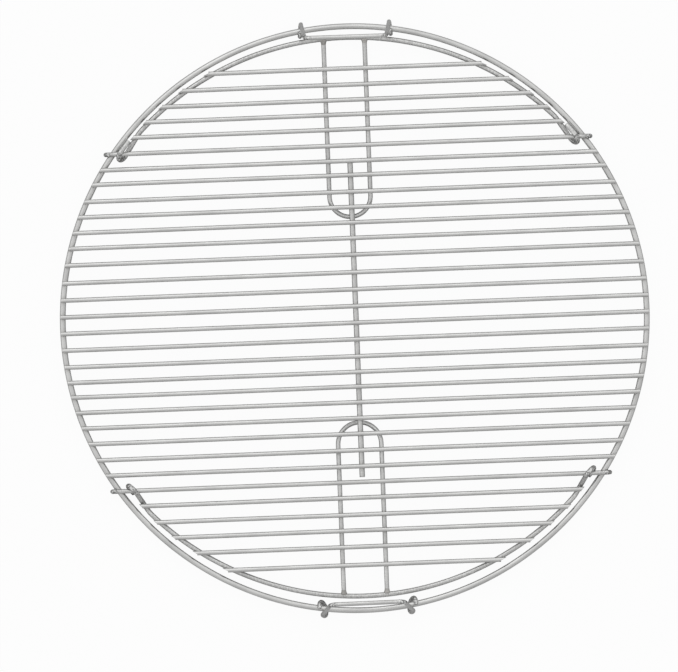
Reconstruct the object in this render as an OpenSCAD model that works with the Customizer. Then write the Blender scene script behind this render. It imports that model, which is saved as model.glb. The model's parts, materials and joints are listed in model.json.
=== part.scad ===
// Hinged round wire rack: a round grid of welded wire with two lift-up end
// flaps and two bail handles. Everything is bent from round bright wire.
// +X runs along the rods, +Y points to the back flap, +Z is up and the four
// hooked ends of the hinge rods stand on Z = 0.

/* [Rim] */
// Outside diameter of the rim
rack_d = 546; // [500:1:600]
// Diameter of the rim wire
rim_wire = 5.4; // [5.0:0.1:5.8]

/* [Rods] */
// Diameter of the parallel rods and of the two hinge rods
rod_wire = 4.2; // [3.8:0.1:4.4]
// Distance from one rod to the next
rod_pitch = 14.85; // [14.6:0.01:15.0]
// How far the rod pattern sits toward the back of the rim
rod_shift = 4.45; // [3.0:0.05:6.0]
// How deep one wire is welded into the next
weld_set = 0.3; // [0.2:0.05:0.4]
// Diameter of the cross wire under the rods
spine_wire_d = 5.0; // [4.6:0.1:5.2]

/* [Flaps] */
// Diameter of the curved flap frame wire
flap_wire = 4.6; // [4.2:0.1:4.7]
// Gap between the rim and the back flap frame, wire centre to wire centre
flap_gap_back = 10.3; // [10.0:0.1:11.5]
// Gap between the rim and the front flap frame, wire centre to wire centre
flap_gap_front = 13.0; // [12.5:0.1:14.0]
// Distance from the back hinge to the first back flap rod
first_rod_back = 14.9; // [14.5:0.1:15.6]
// Distance between back flap rods
pitch_back = 13.95; // [13.7:0.05:14.3]
// Distance from the front hinge to the first front flap rod
first_rod_front = 14.2; // [14.0:0.1:15.0]
// Distance between front flap rods
pitch_front = 15.65; // [15.2:0.05:15.9]

/* [Stop loops] */
// Diameter of the U-shaped stop wire
stop_wire = 4.2; // [3.8:0.1:4.4]
// Width of the back stop loop, wire centre to wire centre
stop_w_back = 38; // [34:1:42]
// Width of the front stop loop, wire centre to wire centre
stop_w_front = 40; // [34:1:44]
// Where the back stop loop turns, from the centre of the rim
stop_y_back = 94; // [88:1:104]
// Where the front stop loop turns, from the centre of the rim
stop_y_front = 96.5; // [90:0.5:104]

/* [Handles] */
// Diameter of the handle wire
handle_wire = 4.0; // [3.8:0.1:4.1]
// Distance from the middle of the back handle to each of its eyes
handle_half_back = 41.4; // [38:0.1:44]
// Distance from the middle of the front handle to each of its eyes
handle_half_front = 41.6; // [38:0.1:44]
// Height of the grip above the rim when the handle stands straight up
handle_h = 37; // [34:1:42]
// Bend radius at the corners of the back handle
handle_bend_back = 4.5; // [4:0.5:9]
// Bend radius at the corners of the front handle
handle_bend_front = 6; // [4:0.5:9]
// How far the back grip leans in past its pivot
lean_back = 7.5; // [0:0.1:8.0]
// How far the front grip leans in past its pivot
lean_front = 4.0; // [0:0.1:6.0]

/* [Hidden] */
$fn = 48;

rim_wire_r = rim_wire / 2;
rod_wire_r = rod_wire / 2;
spine_wire_r = spine_wire_d / 2;
flap_wire_r = flap_wire / 2;
stop_wire_r = stop_wire / 2;
handle_wire_r = handle_wire / 2;

// Rim centre line, and heights measured from the centre line of the rods
rim_r = rack_d / 2 - rim_wire_r;
z_rim = -(rod_wire_r + rim_wire_r) + weld_set;
z_spine = -(rod_wire_r + spine_wire_r) + weld_set;

// Distance from the rim's middle to its centre line, on a chord this far off centre
function half_chord(offset) = sqrt(rim_r * rim_r - offset * offset);

// Rods 1 to n_rods are fixed; 0 and n_rods + 1 are the back and front hinge rods.
// rod_off is each one's offset from even spacing, from back to front.
n_rods = 20;
rod_off = [-0.3, 0.2, 1.9, 1.3, 2.0, 2.5, 3.0, 2.5, 0.9, 0.0, -0.7,
  -1.2, -1.8, -2.6, -2.2, -1.0, -0.6, -0.3, -0.1, -0.5, -0.3, -0.2];
function rod_y(i) = rod_shift + ((n_rods + 1) / 2 - i) * rod_pitch + rod_off[i];
y_back = rod_y(0);
y_front = rod_y(n_rods + 1);
rod_end_inset = 0.4; // from the outside of the rim

spine_x = 1.2;
spine_back = rod_y(1) + 1.8;
spine_front = y_front + 4.5;

// Hooked ends of the hinge rods, and the height that stands them on Z = 0
hook_r = 5.4;
hook_shift = 1.2; // past the rim's centre line
hook_wrap = 195;
lift = 2 * hook_r + rod_wire_r;

// Front flap parts are drawn toward +Y and mirrored, so they use this distance
front_hinge = -y_front;

// Eyes of the flap frames: tilt and centre line radius
eye_tilt_back = 26;
eye_r_back = 6.1;
eye_tilt_front = 15;
eye_r_front = 6.3;

z_flap = -eye_r_back * cos(eye_tilt_back);
z_flap_rod = z_flap + flap_wire_r + rod_wire_r - weld_set;
z_stop = z_flap_rod - (rod_wire_r + stop_wire_r) + weld_set;

// Flap rods, from the hinge out: offset from even spacing, and how much shorter
// each one is where the frame leaves its arc
flap_off_back = [0, -0.2, -0.7, -0.5, 0.4];
flap_off_front = [0.3, 0.3, -0.7, -1.3, 0];
rod_cut_back = [1.0, 0, 0, 0, 0];
rod_cut_front = [1.3, 0, 0, 0, 0];
rod_over = 2.9; // rod ends past the frame's centre line
flap_rod_y_back = [for (j = [0 : 4]) y_back + first_rod_back + j * pitch_back + flap_off_back[j]];
flap_rod_y_front =
  [for (j = [0 : 4]) front_hinge + first_rod_front + j * pitch_front + flap_off_front[j]];

// ---- Wire paths ----
// A path starts at the origin heading +X. Its steps are ["straight", length],
// ["bend", radius, angle toward +Y] and ["roll", angle about the wire].

// Pieces stop short of each joint by join_gap and meet inside a thin collar, as
// a formed wire is slightly swollen where a bend starts
join_gap = 0.05;
collar_half = 0.4;
collar_up = 0.05;

IDENTITY = [[1, 0, 0, 0], [0, 1, 0, 0], [0, 0, 1, 0], [0, 0, 0, 1]];

function step_length(step) = step[0] == "bend" ? step[1] * step[2] * PI / 180 : step[1];

// Pose at the end of one step, seen from its start
function step_pose(step) =
  step[0] == "straight" ?
    [[1, 0, 0, step[1]], [0, 1, 0, 0], [0, 0, 1, 0], [0, 0, 0, 1]] :
  step[0] == "bend" ?
    [[cos(step[2]), -sin(step[2]), 0, step[1] * sin(step[2])],
     [sin(step[2]), cos(step[2]), 0, step[1] * (1 - cos(step[2]))],
     [0, 0, 1, 0],
     [0, 0, 0, 1]] :
    [[1, 0, 0, 0],
     [0, cos(step[1]), -sin(step[1]), 0],
     [0, sin(step[1]), cos(step[1]), 0],
     [0, 0, 0, 1]];

// Pose at the start of step k
function pose(path, k) = k == 0 ? IDENTITY : pose(path, k - 1) * step_pose(path[k - 1]);

// The part of a straight or bend between two distances along it
module piece(step, from, to, wire_r) {
  if (step[0] == "straight")
    translate([from, 0, 0]) rotate([0, 90, 0]) cylinder(h = to - from, r = wire_r);
  if (step[0] == "bend") {
    bend_r = step[1];
    deg_per_mm = 180 / PI / bend_r;
    translate([0, bend_r, 0]) rotate([0, 0, from * deg_per_mm - 90])
      rotate_extrude(angle = (to - from) * deg_per_mm, $fn = bend_r > 100 ? 360 : 96)
        translate([bend_r, 0]) circle(r = wire_r, $fn = 48);
  }
}

module both_sides() {
  children();
  mirror([1, 0, 0]) children();
}

// A wire that is the same on both sides of x = 0: the first step is drawn once
// across the middle, the rest on each side
module wire(path, wire_r) {
  first_end = step_length(path[0]) - join_gap;
  last = len(path) - 1;
  piece(path[0], -first_end, first_end, wire_r);
  both_sides() for (k = [1 : last]) if (path[k][0] != "roll") multmatrix(pose(path, k)) {
    piece(path[k], join_gap, step_length(path[k]) - (k == last ? 0 : join_gap), wire_r);
    translate([-collar_half, 0, 0]) rotate([0, 90, 0])
      cylinder(h = 2 * collar_half, r = wire_r + collar_up);
  }
}

// Bright drawn wire, raised to its standing height
module steel() {
  color([0.74, 0.74, 0.73]) translate([0, 0, lift]) children();
}

module to_front() {
  mirror([0, 1, 0]) children();
}

// ---- Rim, spine and rods ----

module ring_wire() {
  translate([0, 0, z_rim]) rotate_extrude($fn = 360)
    translate([rim_r, 0]) circle(r = rim_wire_r, $fn = 48);
}

module spine() {
  translate([spine_x, spine_front, z_spine]) rotate([-90, 0, 0])
    cylinder(h = spine_back - spine_front, r = spine_wire_r);
}

// A straight rod along X, cut off flush with a round outline centred on x = 0
module trimmed_rod(y, z, outline_r, outline_y) {
  spare = 6;
  trim_h = 8;
  intersection() {
    translate([-rim_r - spare, y, z]) rotate([0, 90, 0])
      cylinder(h = 2 * (rim_r + spare), r = rod_wire_r);
    translate([0, outline_y, z - trim_h / 2]) cylinder(h = trim_h, r = outline_r, $fn = 360);
  }
}

module centre_rod(i) {
  steel() difference() {
    trimmed_rod(rod_y(i), 0, rack_d / 2 - rod_end_inset, 0);
    ring_wire();
    spine();
  }
}

// Runs across the rim and hooks down and back at both ends
module hinge_rod(y) {
  path = [["straight", half_chord(y) + hook_shift], ["bend", hook_r, hook_wrap]];
  steel() difference() {
    translate([0, y, 0]) rotate([-90, 0, 0]) wire(path, rod_wire_r);
    ring_wire();
  }
}

module outer_ring() { steel() ring_wire(); }
module spine_wire() { steel() spine(); }
module back_hinge_rod() { hinge_rod(y_back); }
module front_hinge_rod() { hinge_rod(y_front); }

// ---- Flap frames ----

plan_r = 30; // level bend between the frame's arc and the straight to its eye

// Coordinates of a plan point across and along that straight. The straight
// heads (yaw - 90) degrees from +X.
function across(x, y, yaw) = x * cos(yaw) + y * sin(yaw);
function ahead(x, y, yaw) = x * sin(yaw) - y * cos(yaw);

// Arc, plan bend and straight, from the middle to where the eye begins.
// eye_inset is from the crossing of hinge and rim; rise_run is the plan length
// left at the end of the straight for what follows.
function frame_start(hinge_y, gap, yaw, tilt, eye_r, eye_inset, rise_run) =
  let (
    eye_x = half_chord(hinge_y) - eye_inset,
    line = across(eye_x, hinge_y, yaw) - eye_r * sin(tilt),
    arc_end = yaw + acos((line + gap * sin(yaw) - plan_r) / (rim_r - plan_r)),
    bend_x = rim_r * cos(arc_end) + plan_r * (cos(yaw) - cos(arc_end)),
    bend_y = -gap + rim_r * sin(arc_end) - plan_r * (sin(arc_end) - sin(yaw)),
    run = ahead(eye_x, hinge_y, yaw) - ahead(bend_x, bend_y, yaw) - rise_run
  )
  [["bend", rim_r, 90 - arc_end], ["bend", plan_r, arc_end - yaw], ["straight", run]];

// Back: the wire passes under the hinge rod, curls up around it and back over the top
path_back = concat(
  frame_start(hinge_y = y_back, gap = flap_gap_back, yaw = 33, tilt = eye_tilt_back,
    eye_r = eye_r_back, eye_inset = 9.5, rise_run = 0),
  [["roll", -(90 + eye_tilt_back)], ["bend", eye_r_back, 192], ["straight", 12]]);

// Front: the wire climbs over the hinge rod, curls down and ends underneath it
rise_angle = 45;
rise_r = 5;
eye_reach = eye_r_front * cos(eye_tilt_front);
climb = (eye_reach * cos(rise_angle) - z_flap - rise_r * (1 - cos(rise_angle)))
  / sin(rise_angle);
path_front = concat(
  frame_start(hinge_y = front_hinge, gap = flap_gap_front, yaw = 31, tilt = eye_tilt_front,
    eye_r = eye_r_front, eye_inset = 12.5,
    rise_run = (eye_reach + rise_r) * sin(rise_angle) + climb * cos(rise_angle)),
  [["roll", -90], ["bend", rise_r, rise_angle], ["straight", climb],
   ["roll", eye_tilt_front - 180], ["bend", eye_r_front, 248]]);

// Turned over so that the path's bends go toward -Y
module flap_frame(gap, path) {
  translate([0, -gap + rim_r, z_flap]) rotate([180, 0, 0]) wire(path, flap_wire_r);
}

module back_flap_frame() { steel() flap_frame(flap_gap_back, path_back); }
module front_flap_frame() { steel() to_front() flap_frame(flap_gap_front, path_front); }

// ---- Stop loops ----

stop_gap = 0.12; // clearance below the spine
stop_kink_r = 25;
stop_sink = 0.5; // arm ends this far into the frame wire
z_turn = z_spine - spine_wire_r - stop_wire_r - stop_gap;

// Level under the flap rods, then sloping down from the hinge so that the turn
// passes just under the spine
module stop_loop(hinge_y, turn_y, width, gap, frame_path) {
  slope = atan2(z_stop - z_turn, hinge_y - turn_y);
  kink = stop_kink_r * tan(slope / 2);
  end_y = -gap + half_chord(width / 2) - flap_wire_r + stop_sink;
  path = [["bend", width / 2, 90],
    ["straight", (hinge_y - turn_y) / cos(slope) - width / 2 - kink],
    ["roll", -90],
    ["bend", stop_kink_r, slope],
    ["straight", end_y - hinge_y - kink]];
  difference() {
    translate([0, turn_y, z_turn]) rotate([slope, 0, 0]) wire(path, stop_wire_r);
    flap_frame(gap, frame_path);
  }
}

module back_stop_loop() {
  steel() stop_loop(y_back, stop_y_back, stop_w_back, flap_gap_back, path_back);
}

module front_stop_loop() {
  steel() to_front()
    stop_loop(front_hinge, stop_y_front, stop_w_front, flap_gap_front, path_front);
}

// ---- Flap rods ----

// Notched where it is welded to the frame and the stop loop
module flap_rod(y, cut, gap, frame_path, stop_w) {
  notch_l = 16;
  difference() {
    trimmed_rod(y, z_flap_rod, rim_r + rod_over - cut, -gap);
    flap_frame(gap, frame_path);
    both_sides() translate([stop_w / 2, y - notch_l / 2, z_stop]) rotate([-90, 0, 0])
      cylinder(h = notch_l, r = stop_wire_r);
  }
}

module back_flap_rod(j) {
  steel() flap_rod(flap_rod_y_back[j - 1], rod_cut_back[j - 1],
    flap_gap_back, path_back, stop_w_back);
}

module front_flap_rod(j) {
  steel() to_front() flap_rod(flap_rod_y_front[j - 1], rod_cut_front[j - 1],
    flap_gap_front, path_front, stop_w_front);
}

// ---- Handles ----

handle_turn = 0.32; // turn about the middle of the rack
handle_eye_wrap = 282;

// A grip, two legs and two eyes that hang loosely on the rim. skew and eye_tilt
// turn the eye's plane, splay spreads the legs, leg_bend_r joins leg and eye,
// and slack is the play between eye and rim.
module handle(half, corner_r, eye_r, skew, splay, eye_tilt, leg_bend_r, slack, lean) {
  leg = (handle_h - corner_r * (1 - sin(splay)) - leg_bend_r * (sin(splay) + sin(eye_tilt)))
    / cos(splay);
  grip_half = half - eye_r * sin(skew) * cos(eye_tilt) - corner_r * cos(splay)
    - leg * sin(splay) - leg_bend_r * (cos(eye_tilt) - cos(splay));
  path = [["straight", grip_half],
    ["bend", corner_r, 90 - splay],
    ["straight", leg],
    ["bend", leg_bend_r, splay + eye_tilt],
    ["roll", -(90 + skew)],
    ["bend", eye_r, handle_eye_wrap]];
  // the legs hang this far out from the rim's centre line
  hang = eye_r + slack;
  lean_angle = acos(-lean / sqrt(hang * hang + handle_h * handle_h)) - atan2(handle_h, hang);
  rotate([0, 0, -handle_turn]) translate([0, half_chord(half), z_rim])
    rotate([lean_angle, 0, 0]) translate([0, hang, handle_h]) rotate([-90, 0, 0])
      wire(path, handle_wire_r);
}

module back_handle() {
  steel() handle(half = handle_half_back, corner_r = handle_bend_back, eye_r = 5.7,
    skew = 6, splay = 5, eye_tilt = 0, leg_bend_r = 24, slack = 0.6, lean = lean_back);
}

module front_handle() {
  steel() to_front() handle(half = handle_half_front, corner_r = handle_bend_front, eye_r = 6.7,
    skew = 5, splay = 14, eye_tilt = 27, leg_bend_r = 8, slack = 0.4, lean = lean_front);
}

outer_ring();
back_hinge_rod();
front_hinge_rod();
spine_wire();
centre_rod(1);  // centre_rod_01
centre_rod(2);  // centre_rod_02
centre_rod(3);  // centre_rod_03
centre_rod(4);  // centre_rod_04
centre_rod(5);  // centre_rod_05
centre_rod(6);  // centre_rod_06
centre_rod(7);  // centre_rod_07
centre_rod(8);  // centre_rod_08
centre_rod(9);  // centre_rod_09
centre_rod(10);  // centre_rod_10
centre_rod(11);  // centre_rod_11
centre_rod(12);  // centre_rod_12
centre_rod(13);  // centre_rod_13
centre_rod(14);  // centre_rod_14
centre_rod(15);  // centre_rod_15
centre_rod(16);  // centre_rod_16
centre_rod(17);  // centre_rod_17
centre_rod(18);  // centre_rod_18
centre_rod(19);  // centre_rod_19
centre_rod(20);  // centre_rod_20
back_flap_frame();
back_stop_loop();
back_flap_rod(1);  // back_flap_rod_1
back_flap_rod(2);  // back_flap_rod_2
back_flap_rod(3);  // back_flap_rod_3
back_flap_rod(4);  // back_flap_rod_4
back_flap_rod(5);  // back_flap_rod_5
front_flap_frame();
front_stop_loop();
front_flap_rod(1);  // front_flap_rod_1
front_flap_rod(2);  // front_flap_rod_2
front_flap_rod(3);  // front_flap_rod_3
front_flap_rod(4);  // front_flap_rod_4
front_flap_rod(5);  // front_flap_rod_5
back_handle();
front_handle();
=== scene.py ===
import itertools
import json
import math
from types import SimpleNamespace

import bpy
import numpy as np
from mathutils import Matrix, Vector

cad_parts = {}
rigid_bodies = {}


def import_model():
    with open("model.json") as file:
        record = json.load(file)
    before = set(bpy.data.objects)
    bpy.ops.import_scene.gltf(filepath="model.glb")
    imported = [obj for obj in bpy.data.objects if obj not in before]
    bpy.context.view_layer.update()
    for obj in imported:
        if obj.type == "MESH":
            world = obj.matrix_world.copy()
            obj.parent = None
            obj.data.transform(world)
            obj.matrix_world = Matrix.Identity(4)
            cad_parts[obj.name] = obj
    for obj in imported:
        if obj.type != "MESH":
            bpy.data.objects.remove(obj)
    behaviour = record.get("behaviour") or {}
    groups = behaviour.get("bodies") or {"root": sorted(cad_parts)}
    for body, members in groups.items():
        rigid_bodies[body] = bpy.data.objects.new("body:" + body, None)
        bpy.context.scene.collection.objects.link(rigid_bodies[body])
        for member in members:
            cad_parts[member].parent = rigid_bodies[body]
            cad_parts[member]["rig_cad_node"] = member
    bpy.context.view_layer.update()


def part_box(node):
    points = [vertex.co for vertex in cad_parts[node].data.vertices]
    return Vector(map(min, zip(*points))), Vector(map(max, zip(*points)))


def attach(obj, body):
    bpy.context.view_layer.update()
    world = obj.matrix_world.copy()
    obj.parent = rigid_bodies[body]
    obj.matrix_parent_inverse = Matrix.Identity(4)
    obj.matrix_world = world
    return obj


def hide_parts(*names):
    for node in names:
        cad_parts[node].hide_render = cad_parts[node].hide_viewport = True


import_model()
MM = 0.001
rng = np.random.default_rng(461)
wire_numbers = itertools.count(1)  # each wire gets its own stretch of the texture
WIRE_TEXTURE_STEP = 731.0


def sind(angle):
    return math.sin(math.radians(angle))


def cosd(angle):
    return math.cos(math.radians(angle))


def node_box(cad_node):
    lo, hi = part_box(cad_node)
    return np.array(lo) / MM, np.array(hi) / MM


def node_middle(cad_node, axis):
    lo, hi = node_box(cad_node)
    return (lo[axis] + hi[axis]) / 2


# ------------------------------------------------------------------ sizes
# wire radii
ring_lo, ring_hi = node_box("outer_ring")
RIM_WIRE = round((ring_hi[2] - ring_lo[2]) / 2, 2)
ROD_WIRE = 2.1
SPINE_WIRE = 2.5
FRAME_WIRE = 2.3
STOP_WIRE = 2.1
HANDLE_WIRE = 2.0
WELD_SET = 0.3  # how far welded wires sink into each other
WIRE_SIDES = 24
RIM_SIDES = 28

# outer ring, centre line; the nominal size is used when the CAD ring agrees with it
RING_DIAMETER = 546
RING = round((ring_hi[0] - ring_lo[0] + ring_hi[1] - ring_lo[1]) / 4 + 0.05, 1) - RIM_WIRE
if abs(RING - (RING_DIAMETER / 2 - RIM_WIRE)) < 0.3:
    RING = RING_DIAMETER / 2 - RIM_WIRE
RING_Z = node_middle("outer_ring", 2)

# grid
ROD_Z = round(node_middle("centre_rod_10", 2), 2)
SPINE_X = node_middle("spine_wire", 0)
SPINE_Z = node_middle("spine_wire", 2)
SPINE_STATIONS = 150
RING_STATIONS = 540
ROD_TRIM_RADIUS = RING + RIM_WIRE - 0.4
ROD_PITCH = 14.85
ROD_SHIFT = 4.45
LAST_ROD = 21
# each rod's departure from even pitch, back to front; the first and last are the hinge rods
ROD_OFFSETS = [-0.3, 0.2, 1.9, 1.3, 2.0, 2.5, 3.0, 2.5, 0.9, 0.0, -0.7,
               -1.2, -1.8, -2.6, -2.2, -1.0, -0.6, -0.3, -0.1, -0.5, -0.3, -0.2]
HOOK_RADIUS = 5.4
HOOK_REACH = 1.2  # straight wire beyond the ring before the hook
HOOK_WRAP = 195.0


def rod_y(i):
    return ROD_SHIFT + (LAST_ROD / 2 - i) * ROD_PITCH + ROD_OFFSETS[i]


def ring_half_width(y):
    return math.sqrt(RING * RING - y * y)


# Flaps. Both are described as if at +Y; the front one is mirrored.
# gap: how far the frame's arc is set in from the ring. yaw: the frame arm's plan angle from -Y.
# rod_offsets: departures from even pitch. rod_trims: how much each rod's end radius loses.
FLAPS = {
    "back": SimpleNamespace(
        hinge_y=rod_y(0), gap=10.3, first_rod=14.9, pitch=13.95,
        rod_offsets=[0, -0.2, -0.7, -0.5, 0.4], rod_trims=[1.0, 0, 0, 0, 0],
        stop_width=38.0, stop_y=94.0, yaw=33.0, eye_tilt=26.0, eye_radius=6.1, eye_inset=9.5),
    "front": SimpleNamespace(
        hinge_y=-rod_y(LAST_ROD), gap=13.0, first_rod=14.2, pitch=15.65,
        rod_offsets=[0.3, 0.3, -0.7, -1.3, 0], rod_trims=[1.3, 0, 0, 0, 0],
        stop_width=40.0, stop_y=96.5, yaw=31.0, eye_tilt=15.0, eye_radius=6.3, eye_inset=12.5),
}
FLAP_CORNER = 30.0  # frame bend between its arc and its arms
FLAP_ROD_OVERHANG = 2.9
RISE_ANGLE = 45.0  # the front frame's arms climb to their eyes
RISE_RADIUS = 5.0
BACK_EYE_WRAP = 192
BACK_EYE_TAIL = 12
FRONT_EYE_WRAP = 248
STOP_CLEARANCE = 0.12  # between the stop loop and the spine above it
STOP_KINK_RADIUS = 25.0
STOP_BITE = 0.5  # the stop loop's ends run this far into the flap frame

FRAME_Z = -FLAPS["back"].eye_radius * cosd(FLAPS["back"].eye_tilt)
FLAP_ROD_Z = FRAME_Z + FRAME_WIRE + ROD_WIRE - WELD_SET
STOP_Z = FLAP_ROD_Z - (ROD_WIRE + STOP_WIRE) + WELD_SET
STOP_TURN_Z = (SPINE_Z - ROD_Z) - SPINE_WIRE - STOP_WIRE - STOP_CLEARANCE

# Handles. half_span: half the distance between the eyes. splay: the legs' angle off upright.
# foot_tilt: the wire's further turn past level before the eye. grip_inset: grip inside the pivot.
HANDLES = {
    "back": SimpleNamespace(
        half_span=41.4, corner=4.5, eye_radius=5.7, eye_skew=6.0, splay=5.0,
        foot_tilt=0.0, foot_radius=24.0, slack=0.6, grip_inset=7.5),
    "front": SimpleNamespace(
        half_span=41.6, corner=6.0, eye_radius=6.7, eye_skew=5.0, splay=14.0,
        foot_tilt=27.0, foot_radius=8.0, slack=0.4, grip_inset=4.0),
}
HANDLE_HEIGHT = 37.0
HANDLE_TURN = 0.32
HANDLE_EYE_WRAP = 282


# ------------------------------------------------------------- wire paths
# A path is one half of a symmetric wire, starting at its middle along +X, as steps of
# ("bend", radius, angle), ("straight", length) and ("roll", angle about the wire).
def flap_start(flap):
    """Arc and corner of half a flap frame, and the distance from there to the eye's centre."""
    yaw, centre_y = flap.yaw, -flap.gap
    eye_x = ring_half_width(flap.hinge_y) - flap.eye_inset
    across = (eye_x * cosd(yaw) + flap.hinge_y * sind(yaw)
              - flap.eye_radius * sind(flap.eye_tilt))
    # the polar angle at which the arc hands over to the corner bend
    corner = yaw + math.degrees(math.acos(
        (across - centre_y * sind(yaw) - FLAP_CORNER) / (RING - FLAP_CORNER)))
    end_x = RING * cosd(corner) + FLAP_CORNER * (cosd(yaw) - cosd(corner))
    end_y = centre_y + RING * sind(corner) - FLAP_CORNER * (sind(corner) - sind(yaw))
    run = (eye_x * sind(yaw) - flap.hinge_y * cosd(yaw)
           - (end_x * sind(yaw) - end_y * cosd(yaw)))
    return [("bend", RING, 90 - corner), ("bend", FLAP_CORNER, corner - yaw)], run


def back_frame_path(flap):
    start, run = flap_start(flap)
    return start + [("straight", run), ("roll", -(90 + flap.eye_tilt)),
                    ("bend", flap.eye_radius, BACK_EYE_WRAP), ("straight", BACK_EYE_TAIL)]


def front_frame_path(flap):
    start, run = flap_start(flap)
    eye_height = flap.eye_radius * cosd(flap.eye_tilt)
    top_z = eye_height * cosd(RISE_ANGLE)
    climb = (top_z - FRAME_Z - RISE_RADIUS * (1 - cosd(RISE_ANGLE))) / sind(RISE_ANGLE)
    run -= (eye_height + RISE_RADIUS) * sind(RISE_ANGLE) + climb * cosd(RISE_ANGLE)
    return start + [("straight", run), ("roll", -90), ("bend", RISE_RADIUS, RISE_ANGLE),
                    ("straight", climb), ("roll", flap.eye_tilt - 180),
                    ("bend", flap.eye_radius, FRONT_EYE_WRAP)]


def stop_slope(flap):
    return math.degrees(math.atan2(STOP_Z - STOP_TURN_Z, flap.hinge_y - flap.stop_y))


def stop_end_y(flap):
    half = flap.stop_width / 2
    return -flap.gap + math.sqrt(RING * RING - half * half) - FRAME_WIRE + STOP_BITE


def stop_path(flap):
    """A U whose legs slope to the hinge line, then run level to the flap frame."""
    slope, half = stop_slope(flap), flap.stop_width / 2
    kink = STOP_KINK_RADIUS * math.tan(math.radians(slope / 2))
    sloped = (flap.hinge_y - flap.stop_y) / cosd(slope) - half - kink
    level = stop_end_y(flap) - flap.hinge_y - kink
    return [("bend", half, 90), ("straight", sloped), ("roll", -90),
            ("bend", STOP_KINK_RADIUS, slope), ("straight", level)]


def handle_path(handle):
    splay, tilt, foot = handle.splay, handle.foot_tilt, handle.foot_radius
    leg = (HANDLE_HEIGHT - handle.corner * (1 - sind(splay))
           - foot * (sind(splay) + sind(tilt))) / cosd(splay)
    grip = (handle.half_span - handle.eye_radius * sind(handle.eye_skew) * cosd(tilt)
            - handle.corner * cosd(splay) - leg * sind(splay)
            - foot * (cosd(tilt) - cosd(splay)))
    return [("straight", grip), ("bend", handle.corner, 90 - splay), ("straight", leg),
            ("bend", foot, splay + tilt), ("roll", -(90 + handle.eye_skew)),
            ("bend", handle.eye_radius, HANDLE_EYE_WRAP)]


# ------------------------------------------------------- wire centre lines
def rotation(axis, angle):
    c, s = cosd(angle), sind(angle)
    matrix = np.eye(4)
    i, j = {"x": (1, 2), "y": (2, 0), "z": (0, 1)}[axis]
    matrix[i, i], matrix[i, j], matrix[j, i], matrix[j, j] = c, -s, s, c
    return matrix


def shift(x, y, z):
    matrix = np.eye(4)
    matrix[:3, 3] = (x, y, z)
    return matrix


ROD_LEVEL = shift(0, 0, ROD_Z)
SIDE_FRAMES = {"back": ROD_LEVEL, "front": ROD_LEVEL @ np.diag([1.0, -1.0, 1.0, 1.0])}
STRAIGHT_STEP = 5.0
BEND_STEP = 4.5
WIDE_BEND_STEP = 1.0  # for bends wider than WIDE_BEND
WIDE_BEND = 100


def trace(path):
    """Points and headings along a path that starts at the origin along +X."""
    pose = np.eye(4)
    points, headings = [pose[:3, 3].copy()], [pose[:3, 0].copy()]
    for kind, *size in path:
        if kind == "roll":
            pose = pose @ rotation("x", size[0])
            continue
        if kind == "straight":
            count = max(1, int(math.ceil(size[0] / STRAIGHT_STEP)))
            moves = [shift(size[0] * k / count, 0, 0) for k in range(1, count + 1)]
        else:
            radius, angle = size
            step = WIDE_BEND_STEP if radius > WIDE_BEND else BEND_STEP
            count = max(2, int(math.ceil(angle / step)))
            moves = []
            for k in range(1, count + 1):
                a = angle * k / count
                moves.append(shift(radius * sind(a), radius * (1 - cosd(a)), 0)
                             @ rotation("z", a))
        for move in moves:
            points.append((pose @ move)[:3, 3].copy())
            headings.append((pose @ move)[:3, 0].copy())
        pose = pose @ moves[-1]
    return np.array(points), np.array(headings)


def both_sides(path, frame):
    """The whole symmetric wire of a half path, carried into a frame."""
    points, headings = trace(path)
    points = np.vstack([points[:0:-1] * [-1, 1, 1], points])
    headings = np.vstack([headings[:0:-1] * [1, -1, -1], headings])
    points = np.c_[points, np.ones(len(points))] @ frame.T
    headings = headings @ frame[:3, :3].T
    headings /= np.linalg.norm(headings, axis=1)[:, None]
    return points[:, :3], headings


# ------------------------------------------------------------ mesh building
def add_mesh(name, verts, faces, wire, weld, bend, cut, sharp=48):
    """A smooth mesh; wire is the texture position, the rest are 0 to 1 masks."""
    mesh = bpy.data.meshes.new(name)
    mesh.from_pydata([tuple(v) for v in np.asarray(verts) * MM], [], faces)
    position = mesh.attributes.new("wire", "FLOAT_VECTOR", "POINT")
    position.data.foreach_set("vector", np.asarray(wire * MM, np.float32).ravel())
    for key, values in (("weld", weld), ("bend", bend), ("cut", cut)):
        mask = mesh.attributes.new(key, "FLOAT", "POINT")
        mask.data.foreach_set("value", np.asarray(values, np.float32))
    mesh.validate()
    mesh.polygons.foreach_set("use_smooth", [True] * len(mesh.polygons))
    mesh.set_sharp_from_angle(angle=math.radians(sharp))
    mesh.update()
    ob = bpy.data.objects.new(name, mesh)
    bpy.context.scene.collection.objects.link(ob)
    return ob


def tube_faces(rings, sides, closed=False, first=0):
    faces = []
    for i in range(rings if closed else rings - 1):
        a, b = first + i * sides, first + (i + 1) % rings * sides
        for k in range(sides):
            q = (k + 1) % sides
            faces.append((a + k, a + q, b + q, b + k))
    return faces


def fan_faces(first, sides, centre, flip):
    fan = [(first + k, first + (k + 1) % sides, centre) for k in range(sides)]
    return [face[::-1] for face in fan] if flip else fan


def weld_heat(verts, spots, reach=3.4):
    """1 at a weld, fading to 0 a few millimetres away."""
    distance = np.full(len(verts), 1e9)
    for spot in np.asarray(spots, float):
        distance = np.minimum(distance, np.linalg.norm(verts - spot, axis=1))
    return np.exp(-((distance / reach) ** 2))


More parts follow.
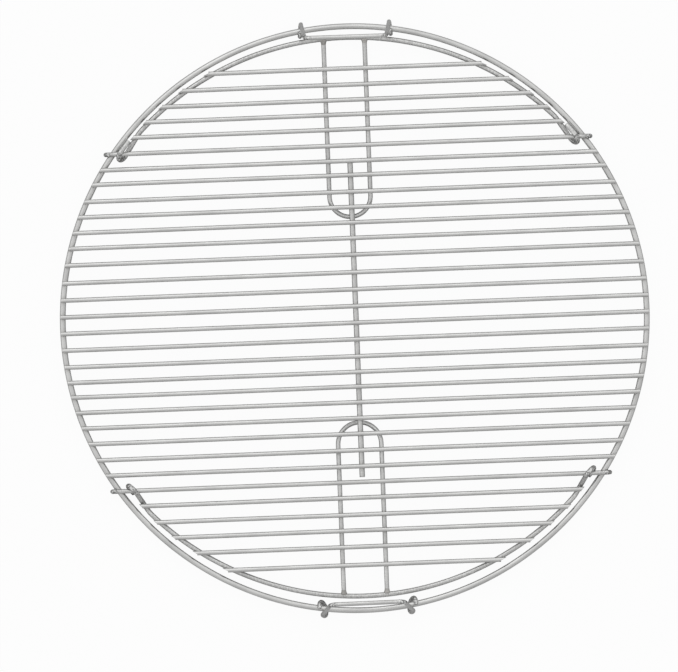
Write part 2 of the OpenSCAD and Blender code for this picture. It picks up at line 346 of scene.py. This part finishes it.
def bend_amount(points, headings):
    """How sharply the wire is bent at each point, 0 straight to 1 for a tight eye."""
    bend = np.zeros(len(points))
    for i in range(1, len(points) - 1):
        length = np.linalg.norm(points[i + 1] - points[i - 1])
        cosine = float(np.dot(headings[i - 1], headings[i + 1]))
        bend[i] = math.acos(max(-1, min(1, cosine))) / max(length, 1e-6)
    bend = np.clip(bend * 6.0, 0, 1)
    return np.convolve(np.pad(bend, 2, mode="edge"), np.ones(5) / 5, mode="valid")


def turned(v, start, end):
    """v carried from heading start to heading end with no twist."""
    axis = np.cross(start, end)
    s, c = np.linalg.norm(axis), float(np.dot(start, end))
    if s < 1e-9:
        return v
    k = axis / s
    return v * c + np.cross(k, v) * s + k * np.dot(k, v) * (1 - c)


def untwisted_normals(headings):
    normals = []
    normal = np.array((0.0, 0.0, 1.0))
    for i, heading in enumerate(headings):
        if i:
            normal = turned(normal, headings[i - 1], heading)
        normal = normal - heading * np.dot(normal, heading)
        normal /= np.linalg.norm(normal)
        normals.append(normal.copy())
    return np.array(normals)


def sweep(name, points, headings, radius, sides=WIRE_SIDES, closed=False, spots=()):
    """A round wire along a centre line, with chamfered, slightly domed ends."""
    chamfer_length, chamfer_depth, dome = 0.28, 0.24, 0.06
    if not closed:
        points = np.vstack([points[0], points[0] + headings[0] * chamfer_length, points[1:-1],
                            points[-1] - headings[-1] * chamfer_length, points[-1]])
        headings = np.vstack([headings[0], headings, headings[-1]])
    count = len(points)
    normals = untwisted_normals(headings)
    binormals = np.cross(headings, normals)
    radii = np.full(count, radius)
    if not closed:
        radii[0] = radii[-1] = radius - chamfer_depth
    angles = np.arange(sides) * 2 * math.pi / sides
    ca, sa = np.cos(angles), np.sin(angles)
    verts = (points[:, None, :] + radii[:, None, None] * (
        ca[None, :, None] * normals[:, None, :]
        + sa[None, :, None] * binormals[:, None, :])).reshape(-1, 3)
    steps = np.linalg.norm(np.diff(points, axis=0), axis=1)
    length = np.r_[0, np.cumsum(steps)] + next(wire_numbers) * WIRE_TEXTURE_STEP
    wire = np.stack([np.repeat(length, sides), np.tile(radius * ca, count),
                     np.tile(radius * sa, count)], 1)
    bend = np.repeat(bend_amount(points, headings), sides)
    weld = weld_heat(verts, spots)
    faces = tube_faces(count, sides, closed)
    if not closed:
        for i, sign in ((0, -1), (count - 1, 1)):
            faces += fan_faces(i * sides, sides, len(verts), flip=sign < 0)
            verts = np.vstack([verts, points[i] + sign * headings[i] * dome])
            wire = np.vstack([wire, [length[i], 0, 0]])
            weld, bend = np.append(weld, 0.0), np.append(bend, 0.0)
    cut = np.zeros(len(verts))
    if not closed:
        cut[:sides] = 1
        cut[(count - 1) * sides:] = 1
    return add_mesh(name, verts, faces, wire, weld, bend, cut)


def rod_stations(half, spots):
    """Stations along a rod, closer together at its welds and ends."""
    xs = set(np.linspace(-half + 5, half - 5, int(2 * half / 9)))
    for spot in spots:
        for d in (-6, -4, -2.6, -1.4, 0, 1.4, 2.6, 4, 6):
            if abs(spot[0] + d) < half - 4:
                xs.add(spot[0] + d)
    for d in (4.0, 2.6, 1.4):
        xs.add(half - d)
        xs.add(-(half - d))
    xs = np.array(sorted(xs))
    return xs[np.r_[True, np.diff(xs) > 0.35]]


def straight_rod(name, y, z, trim_radius, trim_y, spots):
    """A slightly bowed rod along X, its ends cut flush with a circle centred at trim_y."""
    sides, bow, chamfer, end_scale, dome = WIRE_SIDES, 0.12, 0.25, 0.88, 0.04
    half = math.sqrt(trim_radius * trim_radius - (y - trim_y) ** 2)
    xs = rod_stations(half, spots)
    phase = rng.uniform(0, 6.28, 2)
    wave = bow * (np.sin(xs / half * 2.2 + phase[0]) * 0.6
                  + np.sin(xs / half * 5.3 + phase[1]) * 0.4)
    wave *= np.clip(1 - (np.abs(xs) / half) ** 6, 0, 1)
    angles = np.arange(sides) * 2 * math.pi / sides
    ya, za = np.cos(angles) * ROD_WIRE, np.sin(angles) * ROD_WIRE

    def trimmed(scale):
        reach = trim_radius * trim_radius - (y + ya * scale - trim_y) ** 2
        return np.sqrt(np.maximum(reach, 0))

    def ring(x, scale=1.0, bowed=0.0):
        return np.stack([x, y + bowed + ya * scale, z + za * scale], 1)

    face, edge = trimmed(end_scale), trimmed(1.0) - chamfer
    rings = [ring(-face, end_scale), ring(-edge)]
    rings += [ring(np.full(sides, x), bowed=w) for x, w in zip(xs, wave)]
    rings += [ring(edge), ring(face, end_scale)]
    verts = np.vstack(rings)
    count = len(rings)
    start = next(wire_numbers) * WIRE_TEXTURE_STEP
    wire = np.stack([verts[:, 0] + start, np.tile(ya, count), np.tile(za, count)], 1)
    faces = [quad[::-1] for quad in tube_faces(count, sides)]
    for i, sign in ((0, -1), (count - 1, 1)):
        centre = verts[i * sides:(i + 1) * sides].mean(0)
        centre[0] += sign * dome
        faces += fan_faces(i * sides, sides, len(verts), flip=sign > 0)
        verts = np.vstack([verts, centre])
        wire = np.vstack([wire, [centre[0] + start, 0, 0]])
    cut = np.zeros(len(verts))
    cut[:sides] = 1
    cut[(count - 1) * sides:] = 1
    return add_mesh(name, verts, faces, wire, weld_heat(verts, spots),
                    np.zeros(len(verts)), cut)


class Welds:
    """Small concave collars of melted metal where wires were pressed together."""

    SIDES = 28
    STEPS = 6  # from the upper wire down to the lower one
    # collar along a butted wire: distance from its end, flare beyond the wire's surface
    TEE_PROFILE = [(-3.4, -0.04), (-3.0, 0.05), (-2.1, 0.16), (-1.2, 0.36),
                   (-0.5, 0.66), (0.0, 0.9), (0.6, 0.98), (1.3, 0.7)]

    def __init__(self):
        self.verts, self.faces = [], []

    def crossing(self, x, y, rod_z, under_z, under_radius, under_direction, size, cap=2.3):
        """A rod along X over a wire whose plan direction is given in degrees.

        size: the gap between the wires at the collar's edge. cap: its largest radius."""
        rod_bottom, under_top = rod_z - ROD_WIRE, under_z + under_radius

        def gap(rho, a):
            """Gap between the wires and the heights of its two sides."""
            off_rod = abs(rho * math.sin(a))
            off_under = abs(rho * math.sin(a - math.radians(under_direction)))
            if off_rod > ROD_WIRE * 0.93 or off_under > under_radius * 0.93:
                return 9.0, 0, 0
            up = ROD_WIRE - math.sqrt(ROD_WIRE ** 2 - off_rod ** 2)
            down = under_radius - math.sqrt(under_radius ** 2 - off_under ** 2)
            return rod_bottom - under_top + up + down, rod_bottom + up, under_top - down

        base = len(self.verts)
        mean_gap = rng.uniform(0.88, 1.15) * size
        lobes = rng.uniform(-0.07, 0.07, 3)
        for k in range(self.SIDES):
            a = 2 * math.pi * k / self.SIDES
            wanted = mean_gap * (1 + lobes[0] * math.cos(a) + lobes[1] * math.sin(2 * a)
                                 + lobes[2] * math.cos(3 * a))
            edge, outside = 0.0, cap
            for _ in range(24):
                middle = (edge + outside) / 2
                if gap(middle, a)[0] < wanted:
                    edge = middle
                else:
                    outside = middle
            _, upper, lower = gap(edge, a)
            throat = edge * 0.74
            for j in range(self.STEPS + 1):
                u = 1 - 2 * j / self.STEPS
                rho = throat + (edge - throat) * abs(u) ** 1.7
                z = (upper + lower) / 2 + u * ((upper - lower) / 2 + 0.10)
                self.verts.append((x + rho * math.cos(a), y + rho * math.sin(a), z))
        row = self.STEPS + 1
        for k in range(self.SIDES):
            for j in range(self.STEPS):
                a, b = base + k * row + j, base + (k + 1) % self.SIDES * row + j
                self.faces.append((a, a + 1, b + 1, b))

    def tee(self, end, heading, radius):
        """A level wire's end butted against another wire: a flared, lopsided collar."""
        end, heading = np.asarray(end, float), np.asarray(heading, float)
        up = np.array((0.0, 0.0, 1.0))
        across = np.cross(heading, up)
        base = len(self.verts)
        lopsided = rng.uniform(-0.12, 0.12, 2)
        for distance, flare in self.TEE_PROFILE:
            for k in range(self.SIDES):
                a = 2 * math.pi * k / self.SIDES
                # the collar flattens above and below, where the electrodes pinched it
                reach = radius + flare * (1 + lopsided[0] * math.cos(a)
                                          + lopsided[1] * math.sin(2 * a)
                                          - 0.55 * abs(math.cos(a)) ** 3)
                self.verts.append(tuple(end + heading * distance + reach * (
                    math.cos(a) * up + math.sin(a) * across)))
        self.faces += tube_faces(len(self.TEE_PROFILE), self.SIDES, first=base)

    def build(self, name):
        v = np.array(self.verts)
        wire = np.stack([v[:, 0] + v[:, 1] * 0.7, v[:, 1], v[:, 2] * 3], 1)
        none = np.zeros(len(v))
        return add_mesh(name, v, self.faces, wire, np.ones(len(v)), none, none, sharp=80)


# ---------------------------------------------------------------- materials
class Graph:
    """A cleared node tree. Inputs take either a value or another node's output."""

    def __init__(self, owner):
        owner.use_nodes = True
        self.tree = owner.node_tree
        self.tree.nodes.clear()

    def add(self, kind, inputs=None, **settings):
        node = self.tree.nodes.new("ShaderNode" + kind)
        for key, value in settings.items():
            setattr(node, key, value)
        for key, value in (inputs or {}).items():
            socket = node.inputs[key]
            if isinstance(value, bpy.types.NodeSocket):
                self.tree.links.new(value, socket)
            elif socket.type == "RGBA":
                socket.default_value = (*value, 1.0)
            else:
                socket.default_value = value
        return node

    def math(self, operation, a, b, clamp=False):
        return self.add("Math", {0: a, 1: b}, operation=operation, use_clamp=clamp).outputs[0]

    def remap(self, value, source, target):
        return self.add("MapRange", {
            "Value": value, "From Min": source[0], "From Max": source[1],
            "To Min": target[0], "To Max": target[1]}).outputs[0]

    def mix(self, amount, a, b):
        """Colour a going to colour b; sockets 0, 6, 7 and output 2 are the colour ones."""
        return self.add("Mix", {0: amount, 6: a, 7: b}, data_type="RGBA").outputs[2]

    def grey(self, level):
        return self.add("CombineColor", {0: level, 1: level, 2: level}).outputs[0]

    def mix_shader(self, amount, a, b):
        return self.add("MixShader", {0: amount, 1: a.outputs[0], 2: b.outputs[0]})


def steel(name, base, rough, tarnish, bend_marks_and_glints=0.0, mottle=0.0, draw=1.0):
    """Bright drawn wire: fine lines along it, cloudy tarnish, darker heat marks at the welds,
    rubbed bends with painted glints (near-white painted highlights) among their marks, dull cut
    ends and a few pits.

    tarnish: strength of the clouds. rub: pliers' marks and painted glints on bends. mottle: the
    same marks and painted glints everywhere. draw: strength of the drawing lines."""
    material = bpy.data.materials.new(name)
    g = Graph(material)
    wire = g.add("Attribute", attribute_name="wire").outputs["Vector"]
    weld, bend, cut = (g.add("Attribute", attribute_name=mask).outputs["Fac"]
                       for mask in ("weld", "bend", "cut"))

    def noise(stretch, scale, detail, roughness=0.6):
        mapped = g.add("Mapping", {"Vector": wire, "Scale": stretch}).outputs[0]
        return g.add("TexNoise", {"Vector": mapped, "Scale": scale, "Detail": detail,
                                  "Roughness": roughness}).outputs["Fac"]

    def times(a, b):
        return g.math("MULTIPLY", a, b)

    def shade(factor):
        return tuple(channel * factor for channel in base)

    # patterns
    lines = noise(stretch=(0.02, 1, 1), scale=5200, detail=4)
    scuffs = noise(stretch=(0.3, 1, 1), scale=900, detail=5)
    clouds = noise(stretch=(0.35, 1, 1), scale=75, detail=5)
    blotches = noise(stretch=(1, 1, 1), scale=260, detail=6, roughness=0.7)
    # one pattern for both the darker tool marks and the painted glints
    marks = noise(stretch=(1, 0.55, 0.55), scale=820, detail=4, roughness=0.62)
    cells = g.add("TexVoronoi", {"Vector": wire, "Scale": 620}).outputs["Distance"]
    pits = times(g.remap(cells, source=(0.02, 0.085), target=(1, 0)),
                 g.remap(blotches, source=(0.60, 0.66), target=(0, 1)))

    # where each kind of wear shows, and where the glints are painted
    dull = times(g.remap(clouds, source=(0.42, 0.70), target=(0, 1)), tarnish)
    drawn = g.remap(lines, source=(0.35, 0.65), target=(0.0, 0.16 * draw))
    heat = times(weld, g.remap(blotches, source=(0.30, 0.62), target=(0.45, 1.0)))
    tool_marks_and_glints = g.math("MAXIMUM", times(bend, bend_marks_and_glints), mottle)
    dark_marks = g.remap(marks, source=(0.44, 0.57), target=(1.0, 0.0))
    # painted highlights: near-white glints on the marks
    glints = g.remap(marks, source=(0.52, 0.62), target=(0.0, 1.0))

    # colour, layer over layer: amount, colour
    heated = (base[0] * 0.52, base[1] * 0.505, base[2] * 0.485)
    colour = base
    for amount, over in (
            (dull, shade(0.60)),
            (drawn, shade(0.45)),
            (times(heat, 0.4), heated),
            (times(tool_marks_and_glints, dark_marks), shade(0.30)),
            # painted highlights: the glints lighten the marks to near-white
            (times(tool_marks_and_glints, glints), (0.93, 0.93, 0.92)),
            (times(cut, 0.75), (0.17, 0.16, 0.155)),
            (times(pits, 0.6), (0.12, 0.11, 0.10))):
        colour = g.mix(amount, colour, over)

    # roughness: scuffs, then what tarnish, heat and cut ends add
    roughness = g.math("ADD", g.remap(scuffs, source=(0.30, 0.70),
                                      target=(rough - 0.05, rough + 0.09)), times(dull, 0.14))
    roughness = g.math("ADD", roughness, times(heat, 0.20))
    roughness = g.math("ADD", roughness, times(cut, 0.22), clamp=True)

    # relief: each pattern with its relative height
    height = times(lines, 0.35 * draw)
    for operation, layer in (
            ("ADD", times(scuffs, 0.30)),
            ("SUBTRACT", times(pits, 0.8)),
            ("ADD", times(times(weld, blotches), 2.2)),
            ("ADD", times(times(tool_marks_and_glints, marks), 9.0))):
        height = g.math(operation, height, layer)
    bump = g.add("Bump", {"Strength": 0.32, "Distance": 0.00012, "Height": height})

    bsdf = g.add("BsdfPrincipled", {"Metallic": 1.0, "Base Color": colour,
                                    "Roughness": roughness, "Normal": bump.outputs[0]})
    g.add("OutputMaterial", {0: bsdf.outputs[0]})
    return material


BRIGHT, PLAIN, GREYER = (0.78, 0.78, 0.77), (0.76, 0.76, 0.75), (0.75, 0.75, 0.74)
# the bend and all-over mark strengths also set each piece's painted glints (painted highlights)
STEEL = {piece: steel(f"{piece}_steel", **look) for piece, look in {
    "rim": dict(base=PLAIN, rough=0.27, tarnish=0.45),
    "hinge_rod": dict(base=PLAIN, rough=0.28, tarnish=0.45, bend_marks_and_glints=0.95),
    "spine": dict(base=GREYER, rough=0.27, tarnish=0.45, mottle=0.12),
    "rod": dict(base=BRIGHT, rough=0.26, tarnish=0.40),
    "flap_frame": dict(base=PLAIN, rough=0.28, tarnish=0.5, bend_marks_and_glints=0.9, mottle=0.28),
    "stop_loop": dict(base=GREYER, rough=0.28, tarnish=0.5, bend_marks_and_glints=0.5, mottle=0.12),
    "flap_rod": dict(base=BRIGHT, rough=0.26, tarnish=0.40),
    "handle": dict(base=BRIGHT, rough=0.27, tarnish=0.45, bend_marks_and_glints=0.9, mottle=0.08),
    "weld": dict(base=(0.62, 0.61, 0.59), rough=0.36, tarnish=0.7, draw=0.2),
}.items()}


def place(ob, body, slot, *nodes, material=None):
    ob.data.materials.append(STEEL[material or slot])
    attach(ob, body)
    if nodes:
        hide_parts(*nodes)


# -------------------------------------------------------------- the grid
def rod_ring_spots(y):
    half = ring_half_width(y)
    return [(-half, y, ROD_Z - ROD_WIRE), (half, y, ROD_Z - ROD_WIRE)]


def build_ring(spots):
    a = np.arange(RING_STATIONS) * 2 * math.pi / RING_STATIONS
    points = np.stack([RING * np.cos(a), RING * np.sin(a), np.full(len(a), RING_Z)], 1)
    headings = np.stack([-np.sin(a), np.cos(a), np.zeros(len(a))], 1)
    ring = sweep("outer_ring_wire", points, headings, RIM_WIRE, sides=RIM_SIDES,
                 closed=True, spots=spots)
    place(ring, "grid", "rim", "outer_ring")


def build_centre_rods():
    for i in range(1, LAST_ROD):
        y = rod_y(i)
        spots = rod_ring_spots(y) + [(SPINE_X, y, ROD_Z - ROD_WIRE)]
        rod = straight_rod(f"centre_rod_{i:02d}_wire", y, ROD_Z, ROD_TRIM_RADIUS, 0, spots)
        place(rod, "grid", "rod", f"centre_rod_{i:02d}")


def build_spine(spots):
    lo, hi = node_box("spine_wire")
    ys = np.linspace(lo[1], hi[1], SPINE_STATIONS)
    points = np.stack([np.full(len(ys), SPINE_X), ys, np.full(len(ys), SPINE_Z)], 1)
    headings = np.tile([0.0, 1.0, 0.0], (len(ys), 1))
    spine = sweep("spine_wire_bar", points, headings, SPINE_WIRE, spots=spots)
    place(spine, "grid", "spine", "spine_wire")


def build_hinge_rods():
    """The first and last rods, whose ends hook down and back under."""
    for side, y in (("back", rod_y(0)), ("front", rod_y(LAST_ROD))):
        path = [("straight", ring_half_width(y) + HOOK_REACH), ("bend", HOOK_RADIUS, HOOK_WRAP)]
        line = both_sides(path, ROD_LEVEL @ shift(0, y, 0) @ rotation("x", -90))
        rod = sweep(f"{side}_hinge_rod_wire", *line, ROD_WIRE, spots=rod_ring_spots(y))
        place(rod, "grid", "hinge_rod", f"{side}_hinge_rod")


def build_grid():
    welds = Welds()
    ring_spots, spine_spots = [], []
    for i in range(LAST_ROD + 1):
        y = rod_y(i)
        half = ring_half_width(y)
        for x in (-half, half):
            ring_spots.append((x, y, RING_Z + RIM_WIRE))
            tangent = math.degrees(math.atan2(y, x)) + 90
            welds.crossing(x, y, ROD_Z, RING_Z, RIM_WIRE, tangent, size=0.66)
        if 0 < i < LAST_ROD:
            spine_spots.append((SPINE_X, y, SPINE_Z + SPINE_WIRE))
            welds.crossing(SPINE_X, y, ROD_Z, SPINE_Z, SPINE_WIRE, 90, size=0.62)
    build_ring(ring_spots)
    build_centre_rods()
    build_spine(spine_spots)
    build_hinge_rods()
    place(welds.build("grid_welds"), "grid", "rod", material="weld")


# -------------------------------------------------------------- the flaps
def build_flap(side, path):
    flap = FLAPS[side]
    body = f"{side}_flap"
    facing = 1 if side == "back" else -1
    to_side = SIDE_FRAMES[side]
    frame_z, rod_z, stop_z = ROD_Z + FRAME_Z, ROD_Z + FLAP_ROD_Z, ROD_Z + STOP_Z
    frame_start = shift(0, -flap.gap + RING, FRAME_Z) @ rotation("x", 180)
    welds = Welds()
    frame_spots, stop_spots, rods = [], [], []

    half_line, _ = both_sides(path, frame_start)
    half_line = half_line[len(half_line) // 2:]
    for j in range(5):
        y = flap.hinge_y + flap.first_rod + j * flap.pitch + flap.rod_offsets[j]
        # where the frame's centre line passes under this rod
        below = (half_line[:-1, 1] >= y) & (half_line[1:, 1] < y)
        k = int(np.where(below)[0][0])
        step = half_line[k + 1] - half_line[k]
        frame_x = half_line[k, 0] + (half_line[k, 1] - y) / -step[1] * step[0]
        frame_angle = math.degrees(math.atan2(step[1], step[0]))
        side_y = facing * y
        rod_spots = []
        for sign in (-1, 1):
            x, stop_x = sign * frame_x, sign * flap.stop_width / 2
            frame_spots.append((x, side_y, frame_z + FRAME_WIRE))
            stop_spots.append((stop_x, side_y, stop_z + STOP_WIRE))
            rod_spots += [(x, side_y, rod_z - ROD_WIRE), (stop_x, side_y, rod_z - ROD_WIRE)]
            welds.crossing(x, side_y, rod_z, frame_z, FRAME_WIRE,
                           frame_angle * sign * facing, size=0.6, cap=3.4)
            welds.crossing(stop_x, side_y, rod_z, stop_z, STOP_WIRE, 90, size=0.6)
        rods.append((side_y, flap.rod_trims[j], rod_spots))

    for number, (y, trim, spots) in enumerate(rods, 1):
        rod = straight_rod(f"{side}_flap_rod_{number}_wire", y, rod_z,
                           RING + FLAP_ROD_OVERHANG - trim, -facing * flap.gap, spots)
        place(rod, body, "flap_rod", f"{side}_flap_rod_{number}")

    for sign in (-1, 1):
        end = (sign * flap.stop_width / 2, facing * (stop_end_y(flap) - STOP_BITE), stop_z)
        stop_spots.append(end)
        frame_spots.append((end[0], end[1] + facing * FRAME_WIRE, end[2]))
        welds.tee(end, (0, facing, 0), STOP_WIRE)

    line = both_sides(path, to_side @ frame_start)
    frame = sweep(f"{side}_flap_frame_wire", *line, FRAME_WIRE, spots=frame_spots)
    place(frame, body, "flap_frame", f"{side}_flap_frame")
    stop_start = shift(0, flap.stop_y, STOP_TURN_Z) @ rotation("x", stop_slope(flap))
    line = both_sides(stop_path(flap), to_side @ stop_start)
    stop = sweep(f"{side}_stop_loop_wire", *line, STOP_WIRE, spots=stop_spots)
    place(stop, body, "stop_loop", f"{side}_stop_loop")
    place(welds.build(f"{side}_flap_welds"), body, "flap_frame", material="weld")


# ------------------------------------------------------------ the handles
def build_handle(side):
    """A handle standing on the ring, leaned about it until its grip is grip_inset inside."""
    handle = HANDLES[side]
    pivot_gap = handle.eye_radius + handle.slack
    lean = math.degrees(
        math.acos(-handle.grip_inset / math.hypot(pivot_gap, HANDLE_HEIGHT))
        - math.atan2(HANDLE_HEIGHT, pivot_gap))
    frame = (SIDE_FRAMES[side] @ rotation("z", -HANDLE_TURN)
             @ shift(0, ring_half_width(handle.half_span), RING_Z - ROD_Z)
             @ rotation("x", lean)
             @ shift(0, pivot_gap, HANDLE_HEIGHT) @ rotation("x", -90))
    line = both_sides(handle_path(handle), frame)
    wire = sweep(f"{side}_handle_wire", *line, HANDLE_WIRE)
    place(wire, f"{side}_handle", "handle", f"{side}_handle")


build_grid()
build_flap("back", back_frame_path(FLAPS["back"]))
build_flap("front", front_frame_path(FLAPS["front"]))
for side in HANDLES:
    build_handle(side)

# CAD pieces that still show get the rods' steel
for ob in bpy.data.objects:
    if "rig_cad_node" in ob and not ob.hide_render:
        ob.data.materials.clear()
        ob.data.materials.append(STEEL["rod"])


# ------------------------------------- floor, light and camera, in metres
def floor_material():
    """A light matt floor that looks nearly white to the camera and is clear from below."""
    material = bpy.data.materials.new("studio_floor")
    g = Graph(material)
    position = g.add("TexCoord").outputs["Object"]
    noise = g.add("TexNoise", {"Vector": position, "Scale": 0.8}).outputs["Fac"]
    level = g.remap(noise, source=(0.3, 0.7), target=(0.55, 0.58))
    matt = g.add("BsdfDiffuse", {"Color": g.grey(level)})
    shadow_catch = g.add("BsdfDiffuse", {"Color": (0.045, 0.045, 0.045)})
    glow = g.add("Emission", {"Color": (1, 1, 1), "Strength": 0.945})
    seen = g.add("AddShader", {0: shadow_catch.outputs[0], 1: glow.outputs[0]})
    top = g.mix_shader(g.add("LightPath").outputs["Is Camera Ray"], matt, seen)
    clear = g.add("BsdfTransparent")
    surface = g.mix_shader(g.add("NewGeometry").outputs["Backfacing"], top, clear)
    g.add("OutputMaterial", {0: surface.outputs[0]})
    return material


def build_floor():
    cells, size, height = 24, 40.0, -0.0002
    row = cells + 1
    verts = [((i / cells - 0.5) * size, (j / cells - 0.5) * size, height)
             for j in range(row) for i in range(row)]
    faces = []
    for j in range(cells):
        for i in range(cells):
            a = j * row + i
            faces.append((a, a + 1, a + row + 1, a + row))
    mesh = bpy.data.meshes.new("studio_floor")
    mesh.from_pydata(verts, [], faces)
    mesh.update()
    floor = bpy.data.objects.new("studio_floor", mesh)
    bpy.context.scene.collection.objects.link(floor)
    mesh.materials.append(floor_material())


def build_world():
    """Brighter toward the back and a little to the left; the camera sees plain near-white."""
    world = bpy.data.worlds.new("studio")
    bpy.context.scene.world = world
    g = Graph(world)
    direction = g.add("SeparateXYZ", {0: g.add("TexCoord").outputs["Generated"]})
    leftward = g.math("MULTIPLY", direction.outputs["X"], -0.35)
    toward = g.math("ADD", direction.outputs["Y"], leftward)
    level = g.remap(toward, source=(-0.85, 0.30), target=(0.52, 0.90))
    lit = g.add("Background", {"Color": g.grey(level)})
    seen = g.add("Background", {"Color": (0.97, 0.97, 0.97)})
    surface = g.mix_shader(g.add("LightPath").outputs["Is Camera Ray"], lit, seen)
    g.add("OutputWorld", {0: surface.outputs[0]})


def soft_box(name, location, width, depth, power, target=(0, 0, 0.01)):
    light = bpy.data.lights.new(name, "AREA")
    light.shape = "RECTANGLE"
    light.energy, light.size, light.size_y = power, width, depth
    ob = bpy.data.objects.new(name, light)
    ob.location = location
    ob.rotation_mode = "QUATERNION"
    aim = Vector(target) - Vector(location)
    ob.rotation_quaternion = aim.to_track_quat("-Z", "Y")
    bpy.context.scene.collection.objects.link(ob)


def build_camera():
    """Straight above the grate through a long lens, turned so the rods rise to the right."""
    distance = 10.0
    view_width = 0.6276246
    turn = 2.25
    # the view's centre from the ring's centre, along the view's right and up
    right, up = -0.01462606, -0.01647746
    data = bpy.data.cameras.new("camera")
    camera = bpy.data.objects.new("camera", data)
    bpy.context.scene.collection.objects.link(camera)
    bpy.context.scene.camera = camera
    data.sensor_width = 36.0
    data.lens = data.sensor_width * distance / view_width
    data.clip_start, data.clip_end = 0.1, 100.0
    camera.location = (right * cosd(turn) + up * sind(turn),
                       -right * sind(turn) + up * cosd(turn), RING_Z * MM + distance)
    camera.rotation_euler = (0, 0, -math.radians(turn))


build_floor()
build_world()
soft_box("key_soft_box", location=(-0.9, 2.6, 2.2), width=2.6, depth=1.4, power=6)
soft_box("fill_soft_box", location=(2.4, -1.6, 2.0), width=1.8, depth=1.2, power=2)
build_camera()

bpy.context.scene.view_settings.view_transform = "Standard"
bpy.context.scene.view_settings.look = "None"
